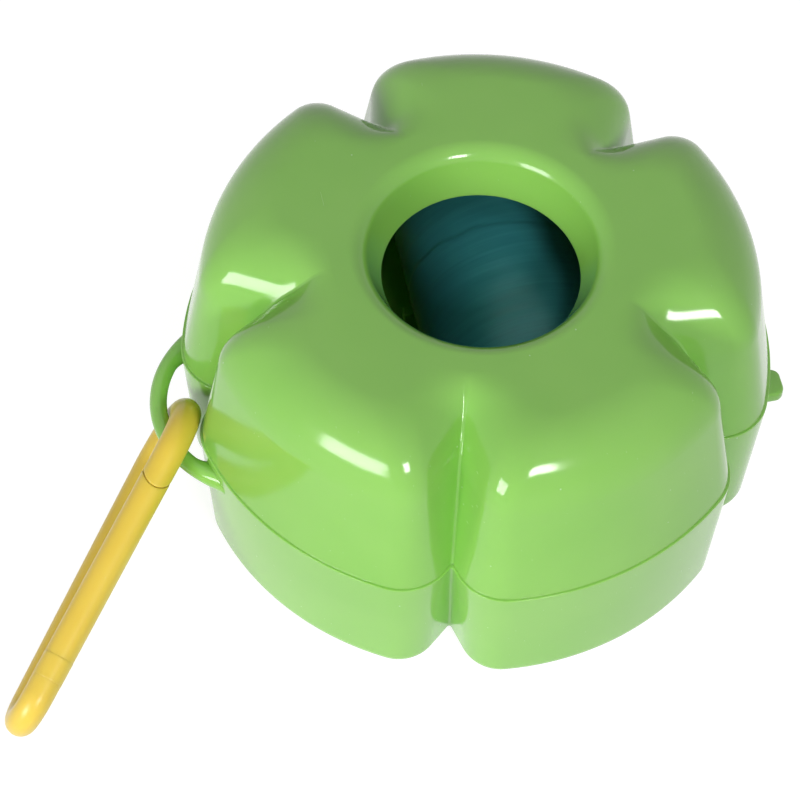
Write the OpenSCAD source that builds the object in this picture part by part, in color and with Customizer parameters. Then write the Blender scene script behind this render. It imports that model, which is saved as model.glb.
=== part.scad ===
// Dog poop bag dispenser: a flower shaped two-shell case, a roll of bags and a carabiner.
// Millimetres, Z up. The origin is the middle of the underside, the belt loop points to -X
// and the thumb tab to +X, so the case is the same on both sides of the XZ plane.

/* [Case] */
// Number of petals
petals = 5; // [4:1:7]
// Height of the closed case
case_h = 48.4; // [42:0.2:60]
// Radius of the flower over its petals, at the parting line
flower_r = 42.2; // [39:0.2:52]
// Radius of the flower in its notches, at the parting line
notch_r = 36.6; // [34:0.2:40]
// Angle between a petal's flank and the middle line of the notch
flank_angle = 31; // [24:0.5:40]
// Radius of a petal's shoulders
shoulder_r = 7.5; // [5:0.1:9]
// Height of the parting line over the base
parting_z = 22.9; // [19:0.1:25]
// Wall thickness of both shells
wall = 2; // [1.6:0.1:2.4]
// Draft of the lower wall, in degrees
tray_draft = 4.7; // [1:0.1:6]
// Draft of the upper wall, in degrees
cover_draft = 8.6; // [3:0.1:10]
// Radius round the bottom edge
base_round = 2.6; // [1:0.1:3.5]
// Radius round the top edge
top_round = 10.3; // [7:0.1:12]
// How far the tray's rim stands out past the cover
rim_proud = 0.3; // [0.1:0.05:0.6]

/* [Mouth] */
// Radius of the mouth at its throat
mouth_r = 14; // [10:0.5:15]
// Radius of the rounded edge round the mouth
lip_round = 3; // [2.6:0.1:4]
// Angle of the mouth's funnel from upright, in degrees
funnel_angle = 23; // [10:1:30]
// Depth of the throat below the top
throat_depth = 6.5; // [5:0.1:9]

/* [Lap joint] */
// Height of the tray's inner lip above the parting line
lip_h = 3.2; // [2:0.1:4]
// Thickness of the tray's inner lip
lip_t = 1.2; // [0.9:0.1:1.6]
// Clearance between the inner lip and the cover
lip_gap = 0.15; // [0.1:0.05:0.3]

/* [Belt loop and thumb tab] */
// Thickness of the belt loop
loop_d = 2.5; // [2:0.1:3.5]
// Radius of the belt loop's middle line
loop_r = 15; // [13.5:0.1:17]
// How far the loop's middle line stands out past the petals
loop_stand = 4; // [2.5:0.1:8]
// How far the loop lies below the parting line
loop_drop = 3.5; // [2.5:0.1:5]
// How far the thumb tab's tip stands out past the petals
tab_stand = 5.4; // [3:0.2:12]
// Width of the thumb tab
tab_w = 4.7; // [4:0.1:12]
// Thickness of the thumb tab
tab_t = 2; // [1.4:0.1:2.6]

/* [Bag roll] */
// Radius of the roll of bags
roll_r = 15; // [12:0.5:16]
// Length of the roll of bags
roll_len = 58; // [50:0.5:60]
// Radius of the paper core
core_r = 8; // [6:0.5:9]
// Wall thickness of the paper core
core_wall = 1.2; // [0.8:0.1:2]
// Distance of the roll's axis from the case's axis
roll_x = 8.5; // [0:0.5:9]

/* [Carabiner] */
// Thickness of the carabiner's bar
bar_d = 4.4; // [3.6:0.1:5]
// Radius of the large bend, to the middle of the bar
big_bend_r = 7.5; // [7:0.1:10]
// Radius of the small bend, to the middle of the bar
small_bend_r = 4.1; // [3.8:0.1:5]
// Distance between the middles of the two bends
bend_span = 38.5; // [34:0.5:50]
// How far the nose reaches past the middle of the large bend
nose_reach = 5.8; // [4.2:0.1:8]
// Thickness of the flexing neck at the gate's root
neck_t = 2.2; // [1.8:0.1:2.6]

/* [Hidden] */
// Half the angle of one petal
half_petal = 180 / petals;
// Direction of a petal flank's outward normal, from the middle of the petal
flank_dir = half_petal + 90 - flank_angle;
// Distance of the flank's plane from the axis
flank_dist = notch_r * cos(flank_dir - half_petal);
// The flanks come together a given amount faster than they move in
notch_gain = 1 / cos(flank_dir - half_petal);
// Rims of the cover and the tray, as insets from the flower's outline
cover_inset = rim_proud / 2;
tray_inset = -rim_proud / 2;
// Small break of the edges that meet at the parting line
edge_break = 0.3;
// Inset of the cover's inner wall at the lap joint, and of the tray's lip
lap_inset = cover_inset + wall;
lip_outer = lap_inset + lip_gap;
lip_inner = lip_outer + lip_t;
// Thickness of the floor
floor_t = wall + 0.2;
// Height at which the cover's straight wall ends, and its inset there
crown_z = case_h - top_round;
crown_inset = cover_inset + (crown_z - parting_z) * tan(cover_draft);
// Smallest shoulder radius, kept where the top edge rounds in
least_shoulder = 4.5;
// Depth at which the funnel's straight wall begins, and the radius of the rounded edge's middle line
lip_sink = lip_round * (1 - sin(funnel_angle));
lip_mid = mouth_r + (throat_depth - lip_sink) * tan(funnel_angle) + lip_round * cos(funnel_angle);

// Height of the loop's middle line
loop_z = parting_z - loop_drop;
// Centre of the loop's arc
loop_x = loop_r - flower_r - loop_stand;
// Half the angle of the loop's arc, which ends inside the petals
loop_half = 66;
// Radius of the fillet where the loop runs into a petal
loop_fillet = 5;
// Height of the thumb tab's underside, and its tip's distance from the case's axis
tab_lift = 0.4;
tab_reach = flower_r + tab_stand;

// Clearance of the roll over its cradle
roll_gap = 0.4;
roll_z = floor_t + roll_gap + roll_r;
// Cradle ribs
rib_t = 1.6;
rib_y = roll_len * 0.31;
rib_h = 8;
// Thickness of one film layer, shown as the step at the roll's outer edge
film_step = 0.3;
// Angle of the free film edge round the roll, which lies underneath
film_edge = 250;

// Angle by which each long side of the carabiner leans
lean = asin((big_bend_r - small_bend_r) / bend_span);
// Length of the straight sides
side_len = bend_span * cos(lean);
// Clearance of the gate from the nose
gate_gap = 0.3;
// Distance of the gate's root from the middle of the large bend, along the side
root_at = side_len - 6;
// Radius of the scoops that thin the root
scoop_r = 6;
// Clearance of the gate's root in its seat
root_gap = 0.08;
// Nose end along the side, and the length of the lap under it
nose_end = nose_reach / cos(lean) - big_bend_r * tan(lean);
lap_len = 3.4;
// Swing of the carabiner where the photo shows it: turn, dip and twist
hang_turn = 231.1;
hang_dip = 15.7;
hang_twist = -23.2;
// Place on the loop where the carabiner hangs, as an angle round the loop's arc
hang_at = -17.6;
// Gap between the loop's bar and the inside of the large bend, which the bar crosses aslant,
// and the bar's place in the bend
eye_gap = 0.7;
eye_seat = big_bend_r - bar_d / 2 - loop_d / 2 - eye_gap;
eye_dir = 132.5;
hang_point = [loop_x - loop_r * cos(hang_at), loop_r * sin(hang_at), loop_z];

// Colours
green = [0.56, 0.80, 0.38];
yellow = [0.93, 0.80, 0.33];
film_blue = [0.16, 0.32, 0.40];
paper = [0.72, 0.62, 0.48];

// Unit vector in a direction
function dir(a) = [cos(a), sin(a)];

// Middle of a shoulder's arc, with the outline moved in and the shoulder's radius given
function shoulder_mid(inset, r) =
    let (across = flank_dist - inset - r)
    let (out = flower_r - inset - r)
    across * dir(flank_dir) + sqrt(max(out * out - across * across, 0)) * dir(flank_dir - 90);

// Shoulder radius that is left when the outline has moved in
function shoulder_left(inset) = max(shoulder_r - inset, least_shoulder);

// Direction in which the outer arc of a petal ends
function arc_end(inset, r) =
    let (m = shoulder_mid(inset, r))
    atan2(m[1], m[0]);

// Half a petal's outline, from its middle to the bottom of its notch
arc_steps = 4;
shoulder_steps = 5;
flank_steps = 3;
function half_outline(inset) =
    let (r = shoulder_left(inset))
    let (m = shoulder_mid(inset, r))
    let (a = arc_end(inset, r))
    let (foot = m + r * dir(flank_dir))
    let (cusp = (flank_dist - inset) * notch_gain * dir(half_petal))
    concat(
        [for (i = [0:arc_steps - 1]) (flower_r - inset) * dir(a * i / arc_steps)],
        [for (i = [0:shoulder_steps - 1]) m + r * dir(a + (flank_dir - a) * i / shoulder_steps)],
        [for (i = [0:flank_steps]) foot + (cusp - foot) * i / flank_steps]
    );

// A point of the outline turned to its own petal, mirrored for the petal's other half
function turned(p, side, a) = [
    p[0] * cos(a) - side * p[1] * sin(a),
    p[0] * sin(a) + side * p[1] * cos(a)
];

// The whole outline, anticlockwise, starting in the middle of the petal on +X
half_count = arc_steps + shoulder_steps + flank_steps;
ring_count = 2 * half_count * petals;
function outline(inset) =
    let (h = half_outline(inset))
    [for (k = [0:petals - 1])
        each concat(
            [for (i = [0:half_count - 1]) turned(h[i], 1, k * 360 / petals)],
            [for (i = [0:half_count - 1]) turned(h[half_count - i], -1, (k + 1) * 360 / petals)]
        )
    ];

// Height of the rounded top over a point at a given inset, for a given skin offset
function crown_height(inset, skin) =
    let (r = top_round - skin)
    let (d = min(max(crown_inset + top_round - inset, 0), r))
    crown_z + sqrt(r * r - d * d);

// Inset of a point that lies in a notch, from its distance to the flank
function notch_inset(p) =
    let (r = norm(p))
    let (turn = atan2(p[1], p[0]) + 360)
    let (fold = abs(turn - 2 * half_petal * round(turn / (2 * half_petal))))
    flank_dist - r * cos(flank_dir - fold);

function ease(t) =
    let (c = min(max(t, 0), 1))
    c * c * (3 - 2 * c);

// Creases between the petals fade out between these two radii
fade_outer = lip_mid + 8.5;
fade_inner = lip_mid + 2.7;
// Points that would lie inside the inner radius keep only this share of their distance to it
held_share = 0.08;

// One ring of the rounded top: points too near the mouth are held by the inner fade radius
function crown_ring(inset, skin) =
    [for (p = outline(inset))
        let (r = norm(p))
        let (held = r < fade_inner ? fade_inner - held_share * (fade_inner - r) : r)
        let (q = p * held / r)
        let (f = ease((fade_outer - held) / (fade_outer - fade_inner)))
        let (z = crown_height(r < fade_inner ? notch_inset(q) : inset, skin))
        [q[0], q[1], z + (case_h - skin - z) * f]
    ];

function flat_ring(inset, z) = [for (p = outline(inset)) [p[0], p[1], z]];

// A round ring whose points lie in the same directions as the innermost crown ring
function round_ring(r, z) =
    [for (p = outline(crown_inset + top_round)) let (u = p / norm(p)) [r * u[0], r * u[1], z]];

// Outside rings of the cover from its rim up and over into the mouth
crown_steps = 7;
lip_steps = 5;
function cover_outside() = concat(
    [flat_ring(cover_inset + edge_break, parting_z)],
    [flat_ring(cover_inset, parting_z + edge_break)],
    [for (i = [0:crown_steps])
        let (a = 90 * i / crown_steps)
        crown_ring(crown_inset + top_round * (1 - cos(a)), 0)
    ],
    [for (i = [0:lip_steps])
        let (a = (90 - funnel_angle) * i / lip_steps)
        round_ring(lip_mid - lip_round * sin(a), case_h - lip_round * (1 - cos(a)))
    ],
    [foot_ring(0, 0)]
);

// A round ring at the funnel's foot, moved into its wall and down along it
function foot_ring(across, down) = round_ring(
    mouth_r + across * cos(funnel_angle) - down * sin(funnel_angle),
    case_h - throat_depth - across * sin(funnel_angle) - down * cos(funnel_angle)
);

// Inside rings of the cover from the mouth back out and down to the rim
inner_steps = 4;
inner_round = top_round - wall;
under_lip = lip_round - wall;
function cover_inside() = concat(
    [foot_ring(edge_break, edge_break)],
    [foot_ring(wall - edge_break, edge_break)],
    [foot_ring(wall, 0)],
    [for (i = [0:2])
        let (a = (90 - funnel_angle) * (1 - i / 2))
        round_ring(lip_mid - under_lip * sin(a), case_h - lip_round + under_lip * cos(a))
    ],
    [for (i = [0:inner_steps])
        let (a = 90 - 90 * i / inner_steps)
        crown_ring(crown_inset + top_round - inner_round * cos(a), wall)
    ],
    [flat_ring(lap_inset + edge_break + lip_h * tan(cover_draft), parting_z + lip_h + 2 * edge_break)],
    [flat_ring(lap_inset, parting_z + lip_h + edge_break)],
    [flat_ring(lap_inset, parting_z)]
);

// Faces between neighbouring rings, and from the last ring back to the first if closed
function skin_faces(n, m, closed) =
    [for (j = [0:closed ? m - 1 : m - 2], i = [0:n - 1])
        let (a = j * n + i)
        let (b = j * n + (i + 1) % n)
        let (c = ((j + 1) % m) * n + (i + 1) % n)
        let (d = ((j + 1) % m) * n + i)
        each [[a, c, b], [a, d, c]]
    ];

module cover() {
    rings = concat(cover_outside(), cover_inside());
    n = ring_count;
    m = len(rings);
    points = [for (r = rings) each r];
    faces = skin_faces(n, m, true);
    color(green) polyhedron(points, faces);
}

// Outside rings of the tray, from the edge of its flat underside to the top of its inner lip
base_steps = 3;
tray_foot = tray_inset + (parting_z - base_round) * tan(tray_draft);
function tray_outside() = concat(
    [for (i = [0:base_steps])
        let (a = 90 * i / base_steps)
        flat_ring(tray_foot + base_round * (1 - sin(a)), base_round * (1 - cos(a)))
    ],
    [flat_ring(tray_inset, parting_z - edge_break)],
    [flat_ring(tray_inset + edge_break, parting_z)],
    [flat_ring(lip_outer, parting_z)],
    [flat_ring(lip_outer, parting_z + lip_h - edge_break)],
    [flat_ring(lip_outer + edge_break, parting_z + lip_h)]
);

// Inside rings of the tray, from the top of its inner lip to the edge of its floor
function tray_inside() = concat(
    [flat_ring(lip_inner, parting_z + lip_h)],
    [flat_ring(lip_inner, parting_z - lip_t)],
    [flat_ring(tray_inset + wall, parting_z - lip_t - (lip_inner - tray_inset - wall))],
    [flat_ring(tray_inset + wall + (parting_z - floor_t) * tan(tray_draft), floor_t)]
);

// Faces from a ring to a point in its middle
function cap_faces(n, first, middle, up) =
    [for (i = [0:n - 1])
        let (a = first + i)
        let (b = first + (i + 1) % n)
        up ? [a, middle, b] : [a, b, middle]
    ];

module tray_shell() {
    rings = concat(tray_outside(), tray_inside());
    n = ring_count;
    m = len(rings);
    points = concat([for (r = rings) each r], [[0, 0, 0], [0, 0, floor_t]]);
    faces = concat(
        skin_faces(n, m, false),
        cap_faces(n, 0, n * m, false),
        cap_faces(n, n * (m - 1), n * m + 1, true)
    );
    polyhedron(points, faces);
}

// The loop's bar with the fillets at its ends
module belt_loop() {
    translate([loop_x, 0, loop_z])
        rotate([0, 0, 180 - loop_half])
        rotate_extrude(angle = 2 * loop_half, $fn = 96)
        translate([loop_r, 0]) circle(d = loop_d, $fn = 32);
    loop_fillets();
}

// The fillet's circle touches the loop's outside and the petal's outer arc
module loop_fillets() {
    loop_out = loop_r + loop_d / 2;
    petal_out = flower_r - tray_inset - loop_drop * tan(tray_draft);
    a = petal_out + loop_fillet;
    b = loop_out + loop_fillet;
    x = (a * a - b * b + loop_x * loop_x) / (2 * loop_x);
    mid = [x, sqrt(a * a - x * x)];
    on_petal = mid * petal_out / a;
    on_loop = [loop_x, 0] + (mid - [loop_x, 0]) * loop_out / b;
    inner = on_petal * (petal_out - wall) / petal_out;
    for (side = [0, 1]) mirror([0, side, 0]) {
        translate([0, 0, loop_z - loop_d * 0.4])
            linear_extrude(height = loop_d * 0.8)
            difference() {
                polygon([on_loop, on_petal, inner, inner - [0, loop_d]]);
                translate(mid) circle(r = loop_fillet, $fn = 64);
            }
    }
}

module thumb_tab() {
    root = flower_r - tray_foot - base_round - wall;
    corner = tab_w * 0.3;
    translate([0, 0, tab_lift])
        linear_extrude(height = tab_t)
        union() {
            translate([root, -tab_w / 2]) square([tab_reach - root - corner, tab_w]);
            translate([root, corner - tab_w / 2]) square([tab_reach - root, tab_w - 2 * corner]);
            for (side = [1, -1]) {
                translate([tab_reach - corner, side * (tab_w / 2 - corner)]) circle(r = corner, $fn = 32);
            }
        }
}

// Two ribs across the floor, hollowed round the roll
module cradle() {
    for (side = [1, -1]) {
        difference() {
            translate([roll_x - roll_r, side * rib_y - rib_t / 2, floor_t - 0.5])
                cube([2 * roll_r, rib_t, rib_h + 0.5]);
            translate([roll_x, side * rib_y, roll_z])
                rotate([90, 0, 0])
                cylinder(r = roll_r + roll_gap, h = 3 * rib_t, center = true, $fn = 96);
        }
    }
}

module tray() {
    color(green) {
        tray_shell();
        belt_loop();
        thumb_tab();
        cradle();
    }
}

module at_roll() {
    translate([roll_x, 0, roll_z]) rotate([90, 0, 0]) children();
}

module roll_core() {
    color(paper)
        at_roll()
        difference() {
            cylinder(r = core_r, h = roll_len, center = true, $fn = 64);
            cylinder(r = core_r - core_wall, h = roll_len + 2, center = true, $fn = 64);
        }
}

// The wound film, with the free edge of its last layer
module bag_roll() {
    color(film_blue)
        at_roll()
        difference() {
            union() {
                cylinder(r = roll_r - film_step, h = roll_len, center = true, $fn = 96);
                rotate([0, 0, film_edge])
                    rotate_extrude(angle = 300, $fn = 96)
                    translate([core_r + 1, -roll_len / 2])
                    square([roll_r - core_r - 1, roll_len]);
            }
            cylinder(r = core_r, h = roll_len + 2, center = true, $fn = 64);
        }
}

// Puts the carabiner, drawn flat round the middle of its large bend, on the loop
module at_hang() {
    translate(hang_point)
        rotate([0, 0, hang_turn])
        rotate([0, hang_dip, 0])
        rotate([90 + hang_twist, 0, 0])
        translate([-eye_seat * cos(eye_dir), -eye_seat * sin(eye_dir), 0])
        children();
}

// Moves to the start of the gate's side, with X along the side and Y outwards
module on_gate_side() {
    rotate([0, 0, -lean]) translate([0, big_bend_r, 0]) children();
}

module bar(length) {
    rotate([0, 90, 0]) cylinder(d = bar_d, h = length, $fn = 48);
}

// Scoops that thin the bar at the gate's root
module root_scoops() {
    for (side = [1, -1]) {
        translate([root_at, side * (neck_t / 2 + scoop_r), 0])
            cylinder(r = scoop_r, h = 2 * bar_d, center = true, $fn = 96);
    }
}

// A block that covers the bar from one place along the side to another
module side_block(from, to, low, high) {
    translate([from, low, -bar_d]) cube([to - from, high - low, 2 * bar_d]);
}

module carabiner_hook() {
    color(yellow)
        at_hang() {
            rotate([0, 0, 90 - lean])
                rotate_extrude(angle = 180 + 2 * lean, $fn = 96)
                translate([big_bend_r, 0]) circle(d = bar_d, $fn = 48);
            rotate([0, 0, lean]) translate([0, -big_bend_r, 0]) bar(side_len);
            translate([bend_span, 0, 0])
                rotate([0, 0, lean - 90])
                rotate_extrude(angle = 180 - 2 * lean, $fn = 96)
                translate([small_bend_r, 0]) circle(d = bar_d, $fn = 48);
            nose();
            root_seat();
        }
}

// The nose: the outer half of the bar, with a round end that laps over the gate
module nose() {
    on_gate_side()
        intersection() {
            bar(nose_end);
            union() {
                side_block(-1, nose_end - lap_len, -bar_d, bar_d);
                side_block(-1, nose_end - bar_d / 2, 0, bar_d);
                translate([nose_end - bar_d / 2, 0, 0])
                    rotate([-90, 0, 0])
                    cylinder(d = bar_d, h = bar_d, $fn = 48);
            }
        }
}

// The stub of the small bend that holds the gate's root
module root_seat() {
    on_gate_side()
        difference() {
            translate([root_at, 0, 0]) bar(side_len - root_at);
            root_scoops();
            translate([root_at, 0, 0]) cylinder(d = neck_t + 2 * root_gap, h = 2 * bar_d, center = true, $fn = 48);
            side_block(root_at - 1, root_at + neck_t * 0.2, -bar_d, bar_d);
        }
}

module carabiner_gate() {
    lap_start = nose_end - lap_len + gate_gap;
    color(yellow)
        at_hang()
        on_gate_side()
        difference() {
            union() {
                translate([lap_start, 0, 0]) bar(root_at - lap_start);
                intersection() {
                    translate([root_at - 1, 0, 0]) bar(neck_t);
                    translate([root_at, 0, 0]) cylinder(d = neck_t, h = 2 * bar_d, center = true, $fn = 48);
                }
            }
            root_scoops();
            side_block(0, nose_end - bar_d / 2, -gate_gap, bar_d);
            translate([nose_end - bar_d / 2, -gate_gap, 0])
                rotate([-90, 0, 0])
                cylinder(d = bar_d + 2 * gate_gap, h = bar_d, $fn = 48);
        }
}

tray();
cover();
roll_core();
bag_roll();
carabiner_hook();
carabiner_gate();
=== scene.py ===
"""Dog poop bag dispenser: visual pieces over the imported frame. Metres, Z up."""

import math

import bmesh
import bpy
import numpy as np
from mathutils import Matrix, Vector


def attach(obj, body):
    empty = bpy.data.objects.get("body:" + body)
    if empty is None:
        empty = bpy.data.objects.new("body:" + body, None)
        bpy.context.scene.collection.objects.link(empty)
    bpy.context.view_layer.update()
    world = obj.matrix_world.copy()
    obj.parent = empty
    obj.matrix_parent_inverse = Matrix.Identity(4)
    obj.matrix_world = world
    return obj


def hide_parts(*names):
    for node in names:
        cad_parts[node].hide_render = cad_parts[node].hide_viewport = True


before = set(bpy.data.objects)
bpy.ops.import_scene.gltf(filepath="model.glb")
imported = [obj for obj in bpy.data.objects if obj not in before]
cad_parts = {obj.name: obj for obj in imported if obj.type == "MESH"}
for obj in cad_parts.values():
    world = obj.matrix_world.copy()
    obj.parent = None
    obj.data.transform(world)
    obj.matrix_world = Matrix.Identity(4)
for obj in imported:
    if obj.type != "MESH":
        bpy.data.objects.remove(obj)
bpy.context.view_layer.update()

MM = 0.001

# Sizes of the case in millimetres, as in the CAD model
PETALS = 5
CASE_H = 48.4
FLOWER_R = 42.2
NOTCH_R = 36.6
FLANK_ANGLE = 31
SHOULDER_R = 7.5
LEAST_SHOULDER = 4.5
PARTING_Z = 22.9
WALL = 2.0
FLOOR_T = WALL + 0.2
TRAY_DRAFT = 4.7
COVER_DRAFT = 8.6
BASE_ROUND = 2.6
TOP_ROUND = 10.3
RIM_PROUD = 0.3
MOUTH_R = 14.0
LIP_ROUND = 3.0
FUNNEL_ANGLE = 23
THROAT_DEPTH = 6.5
LIP_H = 3.2
LIP_T = 1.2
LIP_GAP = 0.15
# Rounding of the shells' edges, finer than in the CAD model
EDGE = 0.12

# Belt loop and thumb tab
LOOP_D = 2.5
LOOP_R = 15.0
LOOP_STAND = 4.0
LOOP_DROP = 3.5
LOOP_X = LOOP_R - FLOWER_R - LOOP_STAND
LOOP_Z = PARTING_Z - LOOP_DROP
LOOP_HALF = 66
LOOP_FILLET = 5.0
LOOP_BURIED = 0.3
LOOP_FLARE = 1.3
LOOP_RISE = 0.35
TAB_REACH = FLOWER_R + 5.4
TAB_W = 4.7
TAB_T = 2.0
TAB_LIFT = 0.4

# Roll of bags
ROLL_R = 15.0
ROLL_LEN = 58.0
CORE_R = 8.0
CORE_WALL = 1.2
ROLL_X = 8.5
ROLL_GAP = 0.4
ROLL_Z = FLOOR_T + ROLL_GAP + ROLL_R
RIB_T = 1.6
RIB_Y = ROLL_LEN * 0.31
RIB_H = 8.0
FILM_STEP = 0.3
FILM_EDGE = 250

# Unevenness of the wound film: ridges round it, waves along it and the folds near its ends
FINE_RIDGE = 0.015
WIDE_RIDGE = 0.1
FILM_WAVE = 0.06
SIDE_EDGE = 13.6
SIDE_EDGE_SLANT = 2.4
SIDE_EDGE_DIR = 165
SIDE_EDGE_WAVE = 0.5
SIDE_FOLD = 0.12
BACK_FOLD = 0.1
BACK_FOLD_AT = 25.5
END_ROUND = 1.2
END_SINK = 0.25
LAYER_STEP = 0.35
LAYER_BOW = 0.2
FILM_LAYERS = 64
CORE_FILM_GAP = 0.02

# Paper core
CORE_FRAY = 0.15
CORE_FIBRE = 0.06

# Carabiner
BAR_D = 4.4
BIG_BEND_R = 7.5
SMALL_BEND_R = 4.1
BEND_SPAN = 38.5
NOSE_REACH = 5.8
LAP_LEN = 3.4
GATE_GAP = 0.06
NECK_T = 2.2
SCOOP_R = 6.0
ROOT_OVERLAP = 0.4
CHEEK_OVER = 0.03
CHEEK_LEN = 3.7
EYE_GAP = 0.7
EYE_SEAT = BIG_BEND_R - BAR_D / 2 - LOOP_D / 2 - EYE_GAP
EYE_DIR = 132.5
HANG_AT = -17.6
HANG_TWIST = 90 - 23.2
HANG_DIP = 15.7
HANG_TURN = 231.1


def cosd(a):
    return math.cos(math.radians(a))


def sind(a):
    return math.sin(math.radians(a))


def tand(a):
    return math.tan(math.radians(a))


def direction(a):
    return np.array([cosd(a), sind(a)])


def ease(t):
    c = np.clip(t, 0, 1)
    return c * c * (3 - 2 * c)


# Camera
def set_camera():
    place = Vector((-92.414463, -328.868025, 505.955687)) * MM
    ahead = Vector((0.136286, 0.550428, -0.823684)).normalized()
    right = Vector((0.97739, -0.210387, 0.021127))
    right = (right - ahead * right.dot(ahead)).normalized()
    up = right.cross(ahead)
    data = bpy.data.cameras.new("camera")
    data.sensor_width = 36
    data.lens = 185.163229
    data.clip_start = 0.05
    data.clip_end = 20
    camera = bpy.data.objects.new("camera", data)
    turn = Matrix((right, up, -ahead)).transposed().to_4x4()
    camera.matrix_world = Matrix.Translation(place) @ turn
    bpy.context.scene.collection.objects.link(camera)
    bpy.context.scene.camera = camera


set_camera()
bpy.context.scene.view_settings.view_transform = "Standard"

# The flower's outline, as in the CAD model but with more points and a fillet in each notch
NOTCH_FILLET = 0.35
NOTCH_SINK = 0.3
HALF_PETAL = 180 / PETALS
FLANK_DIR = HALF_PETAL + 90 - FLANK_ANGLE
FLANK_DIST = (NOTCH_R - NOTCH_SINK) * cosd(FLANK_DIR - HALF_PETAL)
NOTCH_GAIN = 1 / cosd(FLANK_DIR - HALF_PETAL)
ARC_STEPS = 16
SHOULDER_STEPS = 14
FLANK_STEPS = 8
FILLET_STEPS = 6
HALF_COUNT = ARC_STEPS + SHOULDER_STEPS + FLANK_STEPS + FILLET_STEPS
RING_COUNT = 2 * HALF_COUNT * PETALS

COVER_INSET = RIM_PROUD / 2
TRAY_INSET = -RIM_PROUD / 2
CROWN_END = COVER_INSET + (CASE_H - TOP_ROUND - PARTING_Z) * tand(COVER_DRAFT) + TOP_ROUND
# Radius of a crown that runs on from the drafted wall without a kink
CROWN_R = (CROWN_END - COVER_INSET - (CASE_H - PARTING_Z) * tand(COVER_DRAFT)) / (
    1 / cosd(COVER_DRAFT) - tand(COVER_DRAFT)
)
CROWN_Z = CASE_H - CROWN_R
LAP_INSET = COVER_INSET + WALL
LIP_OUTER = LAP_INSET + LIP_GAP
LIP_INNER = LIP_OUTER + LIP_T
TRAY_FOOT = TRAY_INSET + (PARTING_Z - BASE_ROUND) * tand(TRAY_DRAFT)
LIP_SINK = LIP_ROUND * (1 - sind(FUNNEL_ANGLE))
LIP_MID = MOUTH_R + (THROAT_DEPTH - LIP_SINK) * tand(FUNNEL_ANGLE) + LIP_ROUND * cosd(FUNNEL_ANGLE)
FADE_OUTER = LIP_MID + 8.5
FADE_INNER = LIP_MID + 2.7
HELD_SHARE = 0.08
# Rounding of the edges at the funnel's foot
FOOT_ROUND = 0.35


def half_outline(inset):
    r = max(SHOULDER_R - inset, LEAST_SHOULDER)
    across = FLANK_DIST - inset - r
    out = FLOWER_R - inset - r
    along = math.sqrt(max(out * out - across * across, 0))
    mid = across * direction(FLANK_DIR) + along * direction(FLANK_DIR - 90)
    a = math.degrees(math.atan2(mid[1], mid[0]))
    foot = mid + r * direction(FLANK_DIR)
    cusp = (FLANK_DIST - inset) * NOTCH_GAIN * direction(HALF_PETAL)
    bottom = cusp + direction(HALF_PETAL) * NOTCH_FILLET / sind(FLANK_ANGLE)
    end = bottom - NOTCH_FILLET * direction(FLANK_DIR)
    arc = [(FLOWER_R - inset) * direction(a * i / ARC_STEPS) for i in range(ARC_STEPS)]
    shoulder = [
        mid + r * direction(a + (FLANK_DIR - a) * i / SHOULDER_STEPS) for i in range(SHOULDER_STEPS)
    ]
    flank = [foot + (end - foot) * i / FLANK_STEPS for i in range(FLANK_STEPS)]
    turn = HALF_PETAL - FLANK_DIR
    fillet = [
        bottom - NOTCH_FILLET * direction(FLANK_DIR + turn * i / FILLET_STEPS)
        for i in range(FILLET_STEPS + 1)
    ]
    return np.array(arc + shoulder + flank + fillet)


def outline(inset):
    """The whole outline, anticlockwise, from the middle of the petal on +X."""
    half = half_outline(inset)
    there = half[:HALF_COUNT]
    back = half[HALF_COUNT:0:-1] * [1, -1]
    parts = []
    for k in range(PETALS):
        for points, a in ((there, k * 360 / PETALS), (back, (k + 1) * 360 / PETALS)):
            turn = np.array([[cosd(a), -sind(a)], [sind(a), cosd(a)]])
            parts.append(points @ turn.T)
    return np.vstack(parts)


def notch_inset(p):
    """Inset of points that lie in a notch, from their distance to the flank."""
    r = np.hypot(p[:, 0], p[:, 1])
    turn = np.degrees(np.arctan2(p[:, 1], p[:, 0])) + 360
    fold = np.abs(turn - 2 * HALF_PETAL * np.round(turn / (2 * HALF_PETAL)))
    return FLANK_DIST - r * np.cos(np.radians(FLANK_DIR - fold))


def crown_height(inset, skin):
    r = CROWN_R - skin
    d = np.clip(CROWN_END - inset, 0, r)
    return CROWN_Z + np.sqrt(r * r - d * d)


def flat_ring(inset, z):
    return np.column_stack([outline(inset), np.full(RING_COUNT, z)])


def crown_ring(inset, skin):
    p = outline(inset)
    r = np.hypot(p[:, 0], p[:, 1])
    near = r < FADE_INNER
    held = np.where(near, FADE_INNER - HELD_SHARE * (FADE_INNER - r), r)
    q = p * (held / r)[:, None]
    fade = ease((FADE_OUTER - held) / (FADE_OUTER - FADE_INNER))
    z = crown_height(np.where(near, notch_inset(q), inset), skin)
    return np.column_stack([q, z + (CASE_H - skin - z) * fade])


def round_ring(r, z):
    p = outline(CROWN_END)
    return np.column_stack([r * p / np.hypot(p[:, 0], p[:, 1])[:, None], np.full(RING_COUNT, z)])


def foot_ring(across, down):
    """A round ring at the funnel's foot, moved into its wall and down along it."""
    return round_ring(
        MOUTH_R + across * cosd(FUNNEL_ANGLE) - down * sind(FUNNEL_ANGLE),
        CASE_H - THROAT_DEPTH - across * sind(FUNNEL_ANGLE) - down * cosd(FUNNEL_ANGLE),
    )


def wall_rings(low, high, inset, draft, steps):
    """Rings up a drafted wall, closer together near its ends so that the edges shade crisply."""
    shares = [0, 0.01, 0.04] + [i / steps for i in range(1, steps)] + [0.96, 0.99, 1]
    return [flat_ring(inset + s * (high - low) * tand(draft), low + s * (high - low)) for s in shares]


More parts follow.
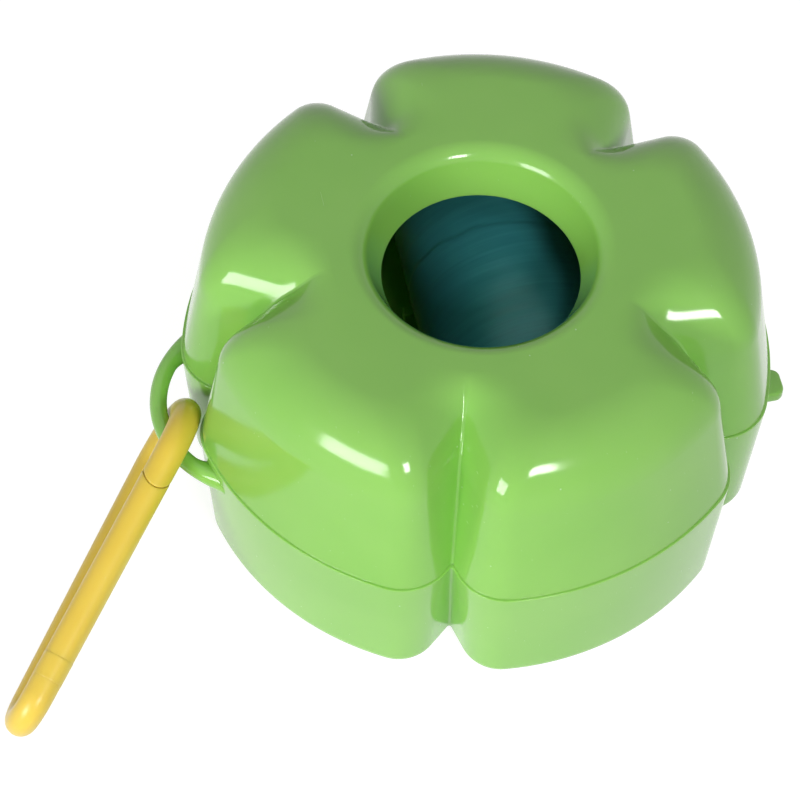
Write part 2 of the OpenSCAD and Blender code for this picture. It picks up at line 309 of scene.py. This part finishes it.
def cover_rings():
    rings = []
    for i in range(5):
        a = 90 * i / 4
        rings.append(flat_ring(COVER_INSET + EDGE * (1 - sind(a)), PARTING_Z + EDGE * (1 - cosd(a))))
    wall_top = CROWN_Z + CROWN_R * sind(COVER_DRAFT)
    rings += wall_rings(PARTING_Z + EDGE, wall_top, COVER_INSET, COVER_DRAFT, 6)
    for i in range(1, 25):
        a = COVER_DRAFT + (90 - COVER_DRAFT) * i / 24
        rings.append(crown_ring(CROWN_END - CROWN_R * cosd(a), 0))
    for i in range(19):
        a = (90 - FUNNEL_ANGLE) * i / 18
        rings.append(round_ring(LIP_MID - LIP_ROUND * sind(a), CASE_H - LIP_ROUND * (1 - cosd(a))))
    straight = (THROAT_DEPTH - LIP_SINK) / cosd(FUNNEL_ANGLE)
    for share in (0.95, 0.5, 0.1, 0.03):
        rings.append(foot_ring(0, -straight * share))
    for i in range(7):
        rings.append(foot_ring(FOOT_ROUND * (1 - cosd(15 * i)), FOOT_ROUND * sind(15 * i)))
    for i in range(7):
        rings.append(foot_ring(WALL - FOOT_ROUND * (1 - sind(15 * i)), FOOT_ROUND * cosd(15 * i)))
    under_lip = LIP_ROUND - WALL
    outside = len(rings)
    for i in range(9):
        a = (90 - FUNNEL_ANGLE) * (1 - i / 8)
        rings.append(round_ring(LIP_MID - under_lip * sind(a), CASE_H - LIP_ROUND + under_lip * cosd(a)))
    inner_round = CROWN_R - WALL
    for i in range(11):
        a = 90 - 90 * i / 10
        rings.append(crown_ring(CROWN_END - inner_round * cosd(a), WALL))
    rings.append(flat_ring(LAP_INSET + EDGE + LIP_H * tand(COVER_DRAFT), PARTING_Z + LIP_H + 2 * EDGE))
    rings.append(flat_ring(LAP_INSET, PARTING_Z + LIP_H + EDGE))
    rings.append(flat_ring(LAP_INSET, PARTING_Z + 0.1))
    rings.append(flat_ring(LAP_INSET - 0.1, PARTING_Z))
    return rings, outside


def tray_rings():
    rings = []
    for i in range(9):
        a = 90 * i / 8
        rings.append(flat_ring(TRAY_FOOT + BASE_ROUND * (1 - sind(a)), BASE_ROUND * (1 - cosd(a))))
    low, high = BASE_ROUND, PARTING_Z - EDGE
    for s in (0.02, 0.1, 0.3, 0.5, 0.7, 0.9, 0.97, 0.99, 1):
        rings.append(flat_ring(TRAY_FOOT - s * (TRAY_FOOT - TRAY_INSET), low + s * (high - low)))
    for i in range(1, 5):
        a = 90 * i / 4
        rings.append(flat_ring(TRAY_INSET + EDGE * (1 - cosd(a)), PARTING_Z - EDGE * (1 - sind(a))))
    rings.append(flat_ring(TRAY_INSET + EDGE + 0.1, PARTING_Z))
    rings.append(flat_ring(LIP_OUTER - 0.05, PARTING_Z))
    rings.append(flat_ring(LIP_OUTER, PARTING_Z + 0.05))
    rings.append(flat_ring(LIP_OUTER, PARTING_Z + LIP_H - EDGE - 0.1))
    for i in range(1, 5):
        a = 90 * i / 4
        z = PARTING_Z + LIP_H - EDGE * (1 - sind(a))
        rings.append(flat_ring(LIP_OUTER + EDGE * (1 - cosd(a)), z))
    rings.append(flat_ring(LIP_INNER - 0.15, PARTING_Z + LIP_H))
    outside = len(rings)
    rings.append(flat_ring(LIP_INNER, PARTING_Z + LIP_H - 0.15))
    rings.append(flat_ring(LIP_INNER, PARTING_Z - LIP_T))
    taper = LIP_INNER - TRAY_INSET - WALL
    rings.append(flat_ring(TRAY_INSET + WALL, PARTING_Z - LIP_T - taper))
    foot = TRAY_INSET + WALL + (PARTING_Z - FLOOR_T) * tand(TRAY_DRAFT)
    for s in (0.3, 0.6, 0.9, 0.96):
        rings.append(
            flat_ring(
                TRAY_INSET + WALL + s * (foot - TRAY_INSET - WALL),
                PARTING_Z - LIP_T - taper - s * (PARTING_Z - LIP_T - taper - FLOOR_T),
            )
        )
    for inset, z in ((0.25, 0.3), (0.7, 0.05), (1.2, 0)):
        rings.append(flat_ring(foot + inset, FLOOR_T + z))
    return rings, outside


def new_object(name, points, faces):
    mesh = bpy.data.meshes.new(name)
    mesh.from_pydata([tuple(p) for p in np.asarray(points) * MM], [], faces)
    mesh.update()
    mesh.polygons.foreach_set("use_smooth", [True] * len(mesh.polygons))
    obj = bpy.data.objects.new(name, mesh)
    bpy.context.scene.collection.objects.link(obj)
    return obj


def skin_faces(n, m, closed):
    faces = []
    for j in range(m if closed else m - 1):
        for i in range(n):
            k = (i + 1) % n
            up = (j + 1) % m
            faces.append((j * n + i, j * n + k, up * n + k, up * n + i))
    return faces


def mount(obj, body, slot, material, *nodes):
    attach(obj, body)
    if nodes:
        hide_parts(*nodes)
    obj.data.materials.append(material)


def line_inside(obj, first, last, material):
    """Gives the faces from one ring to another the shell's inside material."""
    obj.data.materials.append(material)
    for face in obj.data.polygons[first * RING_COUNT:last * RING_COUNT]:
        face.material_index = 1


def make_cover(material, inside):
    rings, outside = cover_rings()
    obj = new_object("cover_shell", np.vstack(rings), skin_faces(RING_COUNT, len(rings), True))
    mount(obj, "case_top", "case_plastic", material, "cover")
    line_inside(obj, outside, len(rings) - 1, inside)


def make_tray(material, inside):
    rings, outside = tray_rings()
    n, m = RING_COUNT, len(rings)
    points = np.vstack(rings + [[[0, 0, 0], [0, 0, FLOOR_T]]])
    faces = skin_faces(n, m, False)
    last = n * (m - 1)
    faces += [((i + 1) % n, i, n * m) for i in range(n)]
    faces += [(last + i, last + (i + 1) % n, n * m + 1) for i in range(n)]
    obj = new_object("tray_shell", points, faces)
    mount(obj, "case_bottom", "case_plastic", material, "tray")
    line_inside(obj, outside, m - 1, inside)
    for face in obj.data.polygons[-n:]:
        face.material_index = 1


def loop_reach_out(t):
    """Outer edge of the belt loop, which runs into the petal along a fillet."""
    petal = FLOWER_R - TRAY_INSET - LOOP_DROP * tand(TRAY_DRAFT) + LOOP_FILLET
    far = LOOP_R + LOOP_D / 2 + LOOP_FILLET
    x = (petal * petal - far * far + LOOP_X * LOOP_X) / (2 * LOOP_X)
    y = math.sqrt(petal * petal - x * x)
    start = math.degrees(math.atan2(y, LOOP_X - x))
    if t <= start:
        return LOOP_D / 2
    along = far * cosd(t - start)
    fillet = along - math.sqrt(max(along * along - far * far + LOOP_FILLET ** 2, 0))
    across = -LOOP_X * cosd(t)
    inside_petal = petal - LOOP_FILLET - LOOP_BURIED
    wall_at = math.sqrt(across * across - LOOP_X * LOOP_X + inside_petal * inside_petal) - across
    return (fillet if t < 60 else min(fillet, wall_at)) - LOOP_R


def make_loop(material):
    around = 32
    steps = 120
    rings = []
    for j in range(steps + 1):
        t = LOOP_HALF * (2 * j / steps - 1)
        a = abs(t)
        out = loop_reach_out(a)
        inside = LOOP_D / 2 + LOOP_FLARE * float(ease((a - 35) / 17))
        tall = LOOP_D / 2 + LOOP_RISE * float(ease((a - 40) / 16))
        ring = []
        for i in range(around):
            f = 360 * i / around
            across = cosd(f) * (out if cosd(f) > 0 else inside)
            r = LOOP_R + across
            ring.append((LOOP_X - r * cosd(t), r * sind(t), LOOP_Z + tall * sind(f)))
        rings.append(ring)
    points = np.vstack([np.array(r) for r in rings])
    faces = skin_faces(around, len(rings), False)
    faces.append(tuple(range(around)))
    faces.append(tuple(reversed(range(around * steps, around * (steps + 1)))))
    obj = new_object("belt_loop", points, faces)
    mount(obj, "case_bottom", "case_plastic", material, "tray")


def extruded(name, flat, low, high, bevel):
    """A solid with a flat outline in XY between two heights. A bevel rounds its edges."""
    n = len(flat)
    points = [(x, y, low) for x, y in flat] + [(x, y, high) for x, y in flat]
    faces = [tuple(reversed(range(n))), tuple(range(n, 2 * n))]
    faces += [(i, (i + 1) % n, n + (i + 1) % n, n + i) for i in range(n)]
    obj = new_object(name, points, faces)
    if bevel:
        round_edges(obj, bevel)
    return obj


def round_edges(obj, width):
    """Rounds the sharp edges of a piece, in its own mesh."""
    bm = bmesh.new()
    bm.from_mesh(obj.data)
    sharp = [e for e in bm.edges if e.calc_face_angle(0) > math.radians(40)]
    bmesh.ops.bevel(bm, geom=sharp, offset=width * MM, segments=3, profile=0.5, affect="EDGES")
    bm.to_mesh(obj.data)
    bm.free()
    obj.data.polygons.foreach_set("use_smooth", [True] * len(obj.data.polygons))
    obj.data.set_sharp_from_angle(angle=math.radians(50))


def make_tab(material):
    corner = TAB_W * 0.3
    root = FLOWER_R - TRAY_FOOT - BASE_ROUND - WALL
    flat = [(root, -TAB_W / 2)]
    for side, start in ((-1, -90), (1, 0)):
        for i in range(9):
            a = start + 90 * i / 8
            y = side * (TAB_W / 2 - corner) + corner * sind(a)
            flat.append((TAB_REACH - corner + corner * cosd(a), y))
    flat.append((root, TAB_W / 2))
    obj = extruded("thumb_tab", flat, TAB_LIFT, TAB_LIFT + TAB_T, 0.4)
    mount(obj, "case_bottom", "case_plastic", material, "tray")


def make_cradle(material):
    hollow = ROLL_R + ROLL_GAP
    top = FLOOR_T + RIB_H
    reach = math.sqrt(hollow ** 2 - (ROLL_Z - top) ** 2)
    side = [(ROLL_X - ROLL_R, FLOOR_T - 0.5), (ROLL_X + ROLL_R, FLOOR_T - 0.5), (ROLL_X + ROLL_R, top)]
    for i in range(41):
        x = reach * (1 - 2 * i / 40)
        side.append((ROLL_X + x, ROLL_Z - math.sqrt(hollow ** 2 - x * x)))
    side.append((ROLL_X - ROLL_R, top))
    for name, y in (("cradle_rib_front", -RIB_Y), ("cradle_rib_back", RIB_Y)):
        obj = extruded(name, side, -RIB_T / 2, RIB_T / 2, 0.15)
        stand = Matrix.Translation((0, y * MM, 0)) @ Matrix.Rotation(math.radians(90), 4, "X")
        obj.data.transform(stand)
        mount(obj, "case_bottom", "case_plastic", material, "tray")


def smooth_noise(rng, count, passes):
    """Random values from 0 to 1 along a line, smoothed and stretched back to that range."""
    v = rng.random(count)
    for _ in range(passes):
        v = (np.roll(v, 1) + v + np.roll(v, -1)) / 3
    return (v - v.min()) / (v.max() - v.min())


def revolve(name, radii, along, turns):
    """A closed solid round the roll's axis. radii and along have a row for each profile point."""
    m, n = radii.shape
    x = ROLL_X + radii * np.cos(turns)
    z = ROLL_Z + radii * np.sin(turns)
    points = np.stack([x, along, z], axis=-1).reshape(-1, 3)
    faces = [tuple(reversed(f)) for f in skin_faces(n, m, True)]
    return new_object(name, points, faces)


def make_film(material):
    rng = np.random.default_rng(7)
    edge = math.radians(FILM_EDGE)
    even = np.linspace(0, 2 * np.pi, 287, endpoint=False)
    turns = np.sort(np.concatenate([even, [edge - 0.004, edge + 0.002]]))
    half = ROLL_LEN / 2
    spiral = FILM_STEP * (((turns - edge) / (2 * np.pi)) % 1)
    lengths = np.linspace(-half, half, 240)
    ridges = FINE_RIDGE * smooth_noise(rng, lengths.size, 1)
    ridges += WIDE_RIDGE * smooth_noise(rng, lengths.size, 30)
    waves = FILM_WAVE * smooth_noise(rng, turns.size, 24)
    side_edge = SIDE_EDGE + SIDE_EDGE_SLANT * np.cos(turns - math.radians(SIDE_EDGE_DIR))
    side_edge += SIDE_EDGE_WAVE * smooth_noise(rng, turns.size, 12)
    rows_r, rows_y = [], []
    for k, y in enumerate(lengths):
        folded = SIDE_FOLD * ease((y - side_edge) / 0.8) + BACK_FOLD * ease((-BACK_FOLD_AT - y) / 0.5)
        end = END_SINK * max(0, (abs(y) - half + END_ROUND) / END_ROUND) ** 2
        rows_r.append(ROLL_R - spiral - ridges[k] - waves - folded - end)
        rows_y.append(np.full(turns.size, y))
    outer_front, outer_back = rows_r[0], rows_r[-1]
    inner = CORE_R + CORE_FILM_GAP
    turn_share = (turns / (2 * np.pi)) % 1
    for side, start in ((1, outer_back), (-1, outer_front)):
        steps = smooth_noise(rng, FILM_LAYERS + 8, 1)
        block_r, block_y = [], []
        for i in range(1, FILM_LAYERS):
            s = i / FILM_LAYERS
            step = steps[i] * (1 - turn_share) + steps[i + 1] * turn_share
            depth = LAYER_STEP * step + LAYER_BOW * s * (1 - s)
            block_r.append(start + (inner - start) * s)
            block_y.append(side * (half - depth))
        block_r.append(np.full(turns.size, inner))
        block_y.append(np.full(turns.size, side * (half - 0.2)))
        if side == -1:
            block_r.reverse()
            block_y.reverse()
        rows_r += block_r
        rows_y += block_y
    obj = revolve("film_roll", np.array(rows_r), np.array(rows_y), turns[None, :])
    mount(obj, "roll", "bag_film", material, "bag_roll")


def make_core(material):
    half = ROLL_LEN / 2
    inner = CORE_R - CORE_WALL
    end = half - CORE_FRAY
    profile = [(CORE_R, y) for y in np.linspace(-end, end, 40)]
    profile += [(CORE_R - CORE_FRAY, half), (inner + CORE_FRAY, half)]
    profile += [(inner, y) for y in np.linspace(end, -end, 40)]
    profile += [(inner + CORE_FRAY, -half), (CORE_R - CORE_FRAY, -half)]
    turns = np.linspace(0, 2 * np.pi, 128, endpoint=False)
    rng = np.random.default_rng(11)
    fibres = CORE_FIBRE * smooth_noise(rng, turns.size, 2)
    radii = np.array([np.full(turns.size, r) - (fibres if r > CORE_R - 0.01 else 0) for r, _ in profile])
    along = np.array([np.full(turns.size, y) for _, y in profile])
    obj = revolve("paper_core", radii, along, turns[None, :])
    mount(obj, "roll", "core_paper", material, "roll_core")


SOFTEN_STEP = 0.13


def soften(obj, rounds):
    """Rounds a solid's edges as on a moulding."""
    remesh = obj.modifiers.new("even_mesh", "REMESH")
    remesh.mode = "VOXEL"
    remesh.voxel_size = SOFTEN_STEP * MM
    remesh.use_smooth_shade = True
    smooth = obj.modifiers.new("round_edges", "SMOOTH")
    smooth.factor = 0.5
    smooth.iterations = rounds


def turned(axis, degrees):
    return Matrix.Rotation(math.radians(degrees), 4, axis)


def moved(x, y, z):
    return Matrix.Translation(Vector((x, y, z)) * MM)


LEAN = math.degrees(math.asin((BIG_BEND_R - SMALL_BEND_R) / BEND_SPAN))
ROOT_AT = BEND_SPAN * cosd(LEAN) - 6
NOSE_END = NOSE_REACH / cosd(LEAN) - BIG_BEND_R * tand(LEAN)


def gate_side():
    """The start of the gate's side: X runs along it and Y outwards."""
    hang = moved(LOOP_X - LOOP_R * cosd(HANG_AT), LOOP_R * sind(HANG_AT), LOOP_Z)
    swing = turned("Z", HANG_TURN) @ turned("Y", HANG_DIP) @ turned("X", HANG_TWIST)
    seat = moved(-EYE_SEAT * cosd(EYE_DIR), -EYE_SEAT * sind(EYE_DIR), 0)
    return hang @ swing @ seat @ turned("Z", -LEAN) @ moved(0, BIG_BEND_R, 0)


def rod(name, radius, length, place):
    """A cylinder along Z from the place given, which a solid is made from or cut with."""
    sides = 72
    circle = [radius * direction(360 * i / sides) for i in range(sides)]
    points = [(x, y, z) for z in (0, length) for x, y in circle]
    faces = [tuple(reversed(range(sides))), tuple(range(sides, 2 * sides))]
    faces += skin_faces(sides, 2, False)
    obj = new_object(name, points, faces)
    obj.data.transform(place)
    return obj


def cut(obj, cutter):
    step = obj.modifiers.new("cut", "BOOLEAN")
    step.operation = "DIFFERENCE"
    step.solver = "EXACT"
    step.object = cutter
    graph = bpy.context.evaluated_depsgraph_get()
    mesh = bpy.data.meshes.new_from_object(obj.evaluated_get(graph))
    obj.modifiers.clear()
    obj.data = mesh
    bpy.data.objects.remove(cutter)


def bar_piece(name, radius, start, end):
    """A length of the gate's side, thinned from the inside at the root."""
    obj = rod(name, radius, end - start, moved(start, 0, 0) @ turned("Y", 90))
    scoop_at = moved(ROOT_AT, -NECK_T / 2 - SCOOP_R, -BAR_D)
    cut(obj, rod("scoop", SCOOP_R + radius - BAR_D / 2, 2 * BAR_D, scoop_at))
    return obj


def make_gate(material):
    """The gate's arm, lapped by the hook's round nose, and the cheek that its root grows from."""
    arm = bar_piece("gate_arm", BAR_D / 2, NOSE_END - LAP_LEN + GATE_GAP, ROOT_AT + ROOT_OVERLAP)
    nose_mid = NOSE_END - BAR_D / 2
    cut(arm, rod("nose", BAR_D / 2 + GATE_GAP, BAR_D, moved(nose_mid, -GATE_GAP, 0) @ turned("X", -90)))
    over = [(0, -GATE_GAP), (nose_mid, -GATE_GAP), (nose_mid, BAR_D), (0, BAR_D)]
    cut(arm, extruded("over_nose", over, -BAR_D, BAR_D, 0))
    cheek = bar_piece("root_cheek", BAR_D / 2 + CHEEK_OVER, ROOT_AT, ROOT_AT + CHEEK_LEN)
    for obj, body, nodes in ((arm, "gate", ["carabiner_gate"]), (cheek, "carabiner", [])):
        obj.data.transform(gate_side())
        mount(obj, body, "clip_plastic", material, *nodes)
        soften(obj, 4)


def soften_hook(material):
    """The hook's CAD solid stays, with rounded edges."""
    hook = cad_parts["carabiner_hook"]
    hook.data.materials.clear()
    hook.data.materials.append(material)
    soften(hook, 8)


# Materials
def add(tree, kind, inputs=None, **settings):
    """A shader node with its settings, and its inputs set or linked."""
    node = tree.nodes.new("ShaderNode" + kind)
    for name, value in settings.items():
        setattr(node, name, value)
    for name, value in (inputs or {}).items():
        if isinstance(value, bpy.types.NodeSocket):
            tree.links.new(value, node.inputs[name])
        else:
            node.inputs[name].default_value = value
    return node


def value(tree, operation, a, b=0.0, c=0.0, clamp=False):
    return add(tree, "Math", {0: a, 1: b, 2: c}, operation=operation, use_clamp=clamp).outputs[0]


def ramp(tree, source, low, high, to_low=0.0, to_high=1.0):
    given = {"Value": source, "From Min": low, "From Max": high, "To Min": to_low, "To Max": to_high}
    return add(tree, "MapRange", given).outputs["Result"]


def blend(tree, factor, a, b):
    return add(tree, "Mix", {"Factor": factor, 6: a, 7: b}, data_type="RGBA").outputs[2]


def above(tree, colour, level):
    """1 where a random cell colour is above a level, which picks out a few of the cells."""
    return value(tree, "GREATER_THAN", add(tree, "SeparateColor", {0: colour}).outputs[0], level)


def linear(colour):
    """Linear values of an sRGB colour."""
    return tuple(c / 12.92 if c <= 0.04045 else ((c + 0.055) / 1.055) ** 2.4 for c in colour) + (1.0,)


def group(name, inputs, outputs):
    tree = bpy.data.node_groups.new(name, "ShaderNodeTree")
    for label, kind in inputs:
        tree.interface.new_socket(label, in_out="INPUT", socket_type="NodeSocket" + kind)
    for label, kind in outputs:
        tree.interface.new_socket(label, in_out="OUTPUT", socket_type="NodeSocket" + kind)
    return tree, tree.nodes.new("NodeGroupInput"), tree.nodes.new("NodeGroupOutput")


def wear_group():
    """Scratches, specks and smudges, from a place in millimetres."""
    tree, start, end = group(
        "wear",
        [("Place", "Vector"), ("Scratch Width", "Float"), ("Speck Size", "Float")],
        [("Scratches", "Float"), ("Specks", "Float"), ("Smudge", "Float")],
    )
    place = start.outputs["Place"]
    found = []
    for turn, stretch in (((0.3, 0.1, 0.9), (1.6, 0.06, 1.6)), ((0.1, 0.4, -0.5), (1.3, 0.045, 1.3))):
        turned = add(tree, "Mapping", {"Vector": place, "Rotation": turn, "Scale": stretch})
        cells = add(tree, "TexVoronoi", {"Vector": turned.outputs[0], "Scale": 1.0})
        line = value(tree, "LESS_THAN", cells.outputs["Distance"], start.outputs["Scratch Width"])
        found.append(value(tree, "MULTIPLY", line, above(tree, cells.outputs["Color"], 0.95)))
    tree.links.new(value(tree, "MAXIMUM", found[0], found[1]), end.inputs["Scratches"])
    dots = add(tree, "TexVoronoi", {"Vector": place, "Scale": 0.42, "Randomness": 1.0})
    chosen = above(tree, dots.outputs["Color"], 0.86)
    dot = value(tree, "LESS_THAN", dots.outputs["Distance"], start.outputs["Speck Size"])
    tree.links.new(value(tree, "MULTIPLY", dot, chosen), end.inputs["Specks"])
    haze = add(tree, "TexNoise", {"Vector": place, "Scale": 0.07, "Detail": 3.0, "Roughness": 0.6})
    tree.links.new(ramp(tree, haze.outputs[0], 0.38, 0.68), end.inputs["Smudge"])
    return tree


def relief_group():
    """The slight unevenness of a moulded skin: long waves, fine grain and scratches, as a normal."""
    tree, start, end = group(
        "moulded_skin",
        [("Place", "Vector"), ("Waves", "Float"), ("Grain", "Float"), ("Scratches", "Float")],
        [("Normal", "Vector")],
    )
    place = start.outputs["Place"]
    slow = add(tree, "TexNoise", {"Vector": place, "Scale": 0.09, "Detail": 1.0})
    fine = add(tree, "TexNoise", {"Vector": place, "Scale": 1.6, "Detail": 2.0})
    height = value(tree, "MULTIPLY", slow.outputs[0], start.outputs["Waves"])
    height = value(tree, "MULTIPLY_ADD", fine.outputs[0], start.outputs["Grain"], height)
    height = value(tree, "MULTIPLY_ADD", start.outputs["Scratches"], -0.01, height)
    bump = add(tree, "Bump", {"Strength": 1.0, "Distance": MM, "Height": height})
    tree.links.new(bump.outputs[0], end.inputs["Normal"])
    return tree


WEAR = wear_group()
RELIEF = relief_group()


def new_material(name):
    material = bpy.data.materials.new(name)
    material.use_nodes = True
    tree = material.node_tree
    tree.nodes.clear()
    coords = add(tree, "TexCoord").outputs["Object"]
    place = add(tree, "VectorMath", {0: coords, "Scale": 1 / MM}, operation="SCALE").outputs[0]
    return material, tree, place


def finish_material(tree, shader):
    out = add(tree, "OutputMaterial")
    tree.links.new(shader, out.inputs["Surface"])


def use_group(tree, which, inputs):
    node = tree.nodes.new("ShaderNodeGroup")
    node.node_tree = which
    for name, given in inputs.items():
        if isinstance(given, bpy.types.NodeSocket):
            tree.links.new(given, node.inputs[name])
        else:
            node.inputs[name].default_value = given
    return node.outputs


def plastic(name, colour, deep, roughness, bleed, bleed_reach, bleed_tint=(1.0, 1.0, 0.5)):
    """Moulded plastic: a clean colour with a slightly deeper shade, smudges, specks and scratches."""
    material, tree, place = new_material(name)
    wear = use_group(tree, WEAR, {"Place": place, "Scratch Width": 0.08, "Speck Size": 0.05})
    shade = add(tree, "TexNoise", {"Vector": place, "Scale": 0.045, "Detail": 2.0})
    base = blend(tree, ramp(tree, shade.outputs[0], 0.3, 0.7), linear(colour), linear(deep))
    base = blend(tree, value(tree, "MULTIPLY", wear["Specks"], 0.35), base, linear((0.93, 0.95, 0.9)))
    base = blend(tree, value(tree, "MULTIPLY", wear["Scratches"], 0.1), base, linear((0.95, 0.97, 0.9)))
    rough = ramp(tree, wear["Smudge"], 0, 1, roughness, roughness + 0.05)
    rough = value(tree, "MULTIPLY_ADD", wear["Scratches"], 0.2, rough)
    normal = use_group(
        tree, RELIEF, {"Place": place, "Waves": 0.05, "Grain": 0.0012, "Scratches": wear["Scratches"]}
    )["Normal"]
    shader = add(
        tree,
        "BsdfPrincipled",
        {
            "Base Color": base,
            "Roughness": rough,
            "Normal": normal,
            "IOR": 1.48,
            "Subsurface Weight": bleed,
            "Subsurface Radius": bleed_tint,
            "Subsurface Scale": bleed_reach * MM,
        },
    )
    finish_material(tree, shader.outputs[0])
    return material


def film_material():
    """Thin wound film: dark blue-green, with fine streaks round the roll."""
    material, tree, place = new_material("wound_film")
    streaks = add(tree, "Mapping", {"Vector": place, "Scale": (0.05, 2.4, 0.05)})
    streak = {"Vector": streaks.outputs[0], "Scale": 1.0, "Detail": 4.0, "Roughness": 0.65}
    fine = add(tree, "TexNoise", streak)
    wide = add(tree, "TexNoise", {"Vector": place, "Scale": 0.12, "Detail": 2.0})
    lighter = ramp(tree, fine.outputs[0], 0.3, 0.7)
    base = blend(tree, lighter, linear((0.20, 0.53, 0.55)), linear((0.24, 0.58, 0.60)))
    bluer = ramp(tree, wide.outputs[0], 0.45, 0.75, 0.0, 0.3)
    base = blend(tree, bluer, base, linear((0.17, 0.47, 0.52)))
    height = value(tree, "MULTIPLY", fine.outputs[0], 0.02)
    height = value(tree, "MULTIPLY_ADD", wide.outputs[0], 0.2, height)
    bump = add(tree, "Bump", {"Strength": 0.8, "Distance": MM, "Height": height})
    rough = ramp(tree, fine.outputs[0], 0.3, 0.7, 0.34, 0.5)
    surface = {"Base Color": base, "Roughness": rough, "Normal": bump.outputs[0], "IOR": 1.5}
    shader = add(tree, "BsdfPrincipled", surface)
    finish_material(tree, shader.outputs[0])
    return material


def paper_material():
    """Grey-brown paper, wound aslant, with a seam and fibres."""
    material, tree, place = new_material("core_paper")
    shifted = add(tree, "VectorMath", {0: place, 1: (ROLL_X, 0, ROLL_Z)}, operation="SUBTRACT").outputs[0]
    parts = add(tree, "SeparateXYZ", {0: shifted}).outputs
    angle = value(tree, "DIVIDE", value(tree, "ARCTAN2", parts[2], parts[0]), 2 * math.pi)
    wound = value(tree, "FRACT", value(tree, "MULTIPLY_ADD", parts[1], 1 / 24, angle))
    seam = ramp(tree, value(tree, "ABSOLUTE", value(tree, "SUBTRACT", wound, 0.5)), 0.0, 0.03, 1.0, 0.0)
    fibres = add(tree, "TexNoise", {"Vector": place, "Scale": 2.2, "Detail": 5.0, "Roughness": 0.7})
    lighter = ramp(tree, fibres.outputs[0], 0.3, 0.7)
    base = blend(tree, lighter, linear((0.62, 0.53, 0.41)), linear((0.76, 0.67, 0.54)))
    base = blend(tree, value(tree, "MULTIPLY", seam, 0.5), base, linear((0.42, 0.34, 0.25)))
    height = value(tree, "MULTIPLY_ADD", seam, -0.2, value(tree, "MULTIPLY", fibres.outputs[0], 0.12))
    bump = add(tree, "Bump", {"Strength": 0.8, "Distance": MM, "Height": height})
    surface = {"Base Color": base, "Roughness": 0.85, "Normal": bump.outputs[0]}
    shader = add(tree, "BsdfPrincipled", surface)
    finish_material(tree, shader.outputs[0])
    return material


def floor_material():
    """Pale floor that shows white to the camera and in reflections, and keeps the shadow."""
    material, tree, place = new_material("pale_floor")
    grain = add(tree, "TexNoise", {"Vector": place, "Scale": 0.03, "Detail": 3.0})
    colour = blend(tree, grain.outputs[0], (0.84, 0.84, 0.84, 1), (0.87, 0.87, 0.87, 1))
    plain = add(tree, "BsdfDiffuse", {"Color": colour})
    glow = add(tree, "Emission", {"Color": (1, 1, 1, 1), "Strength": 0.9})
    soft = add(tree, "BsdfDiffuse", {"Color": (0.3, 0.3, 0.3, 1)})
    shown = add(tree, "AddShader", {0: glow.outputs[0], 1: soft.outputs[0]})
    path = add(tree, "LightPath").outputs
    seen = value(tree, "MAXIMUM", path["Is Camera Ray"], path["Is Glossy Ray"])
    seen = value(tree, "MAXIMUM", seen, path["Is Transmission Ray"])
    mix = add(tree, "MixShader", {0: seen, 1: plain.outputs[0], 2: shown.outputs[0]})
    finish_material(tree, mix.outputs[0])
    return material


def make_floor():
    size = 3000
    points = [(-size, -size, -0.05), (size, -size, -0.05), (size, size, -0.05), (-size, size, -0.05)]
    floor = new_object("floor", points, [(0, 1, 2, 3)])
    floor.data.materials.append(floor_material())


def set_world(strength):
    world = bpy.data.worlds.new("world")
    bpy.context.scene.world = world
    world.use_nodes = True
    tree = world.node_tree
    tree.nodes.clear()
    path = add(tree, "LightPath").outputs
    seen = value(tree, "MAXIMUM", path["Is Camera Ray"], path["Is Glossy Ray"])
    seen = value(tree, "MAXIMUM", seen, path["Is Transmission Ray"])
    level = ramp(tree, seen, 0, 1, strength, 1.0)
    background = add(tree, "Background", {"Color": (1, 1, 1, 1), "Strength": level})
    out = add(tree, "OutputWorld")
    tree.links.new(background.outputs[0], out.inputs["Surface"])


def softbox(name, azimuth, elevation, width, height, power, mirrored=True, distance=1.2):
    data = bpy.data.lights.new(name, "AREA")
    data.shape = "RECTANGLE"
    data.size = width
    data.size_y = height
    data.energy = power
    lamp = bpy.data.objects.new(name, data)
    toward = Vector((cosd(elevation) * cosd(azimuth), cosd(elevation) * sind(azimuth), sind(elevation)))
    lamp.location = Vector((0, 0, 0.025)) + toward * distance
    lamp.rotation_euler = toward.to_track_quat("Z", "Y").to_euler()
    lamp.visible_glossy = mirrored
    bpy.context.scene.collection.objects.link(lamp)


GREEN = (0.57, 0.80, 0.37)
DEEP_GREEN = (0.54, 0.78, 0.34)
green = plastic("case_green", GREEN, DEEP_GREEN, 0.1, 0.3, 2.0)
green_inside = plastic("case_green_inside", GREEN, DEEP_GREEN, 0.3, 0.85, 2.2, (0.35, 1.0, 0.2))
yellow = plastic("clip_yellow", (0.95, 0.82, 0.33), (0.92, 0.79, 0.29), 0.3, 0.3, 2.0)
make_cover(green, green_inside)
make_tray(green, green_inside)
make_loop(green)
make_tab(green)
make_cradle(green)
make_film(film_material())
make_core(paper_material())
make_gate(yellow)
soften_hook(yellow)
make_floor()
set_world(0.14)
softbox("key_front", -80, 38, 0.25, 0.25, 5.4)
softbox("key_left", -145, 18, 0.5, 0.42, 8.5)
softbox("high_front", -76, 64, 0.3, 0.3, 1.7, mirrored=False)
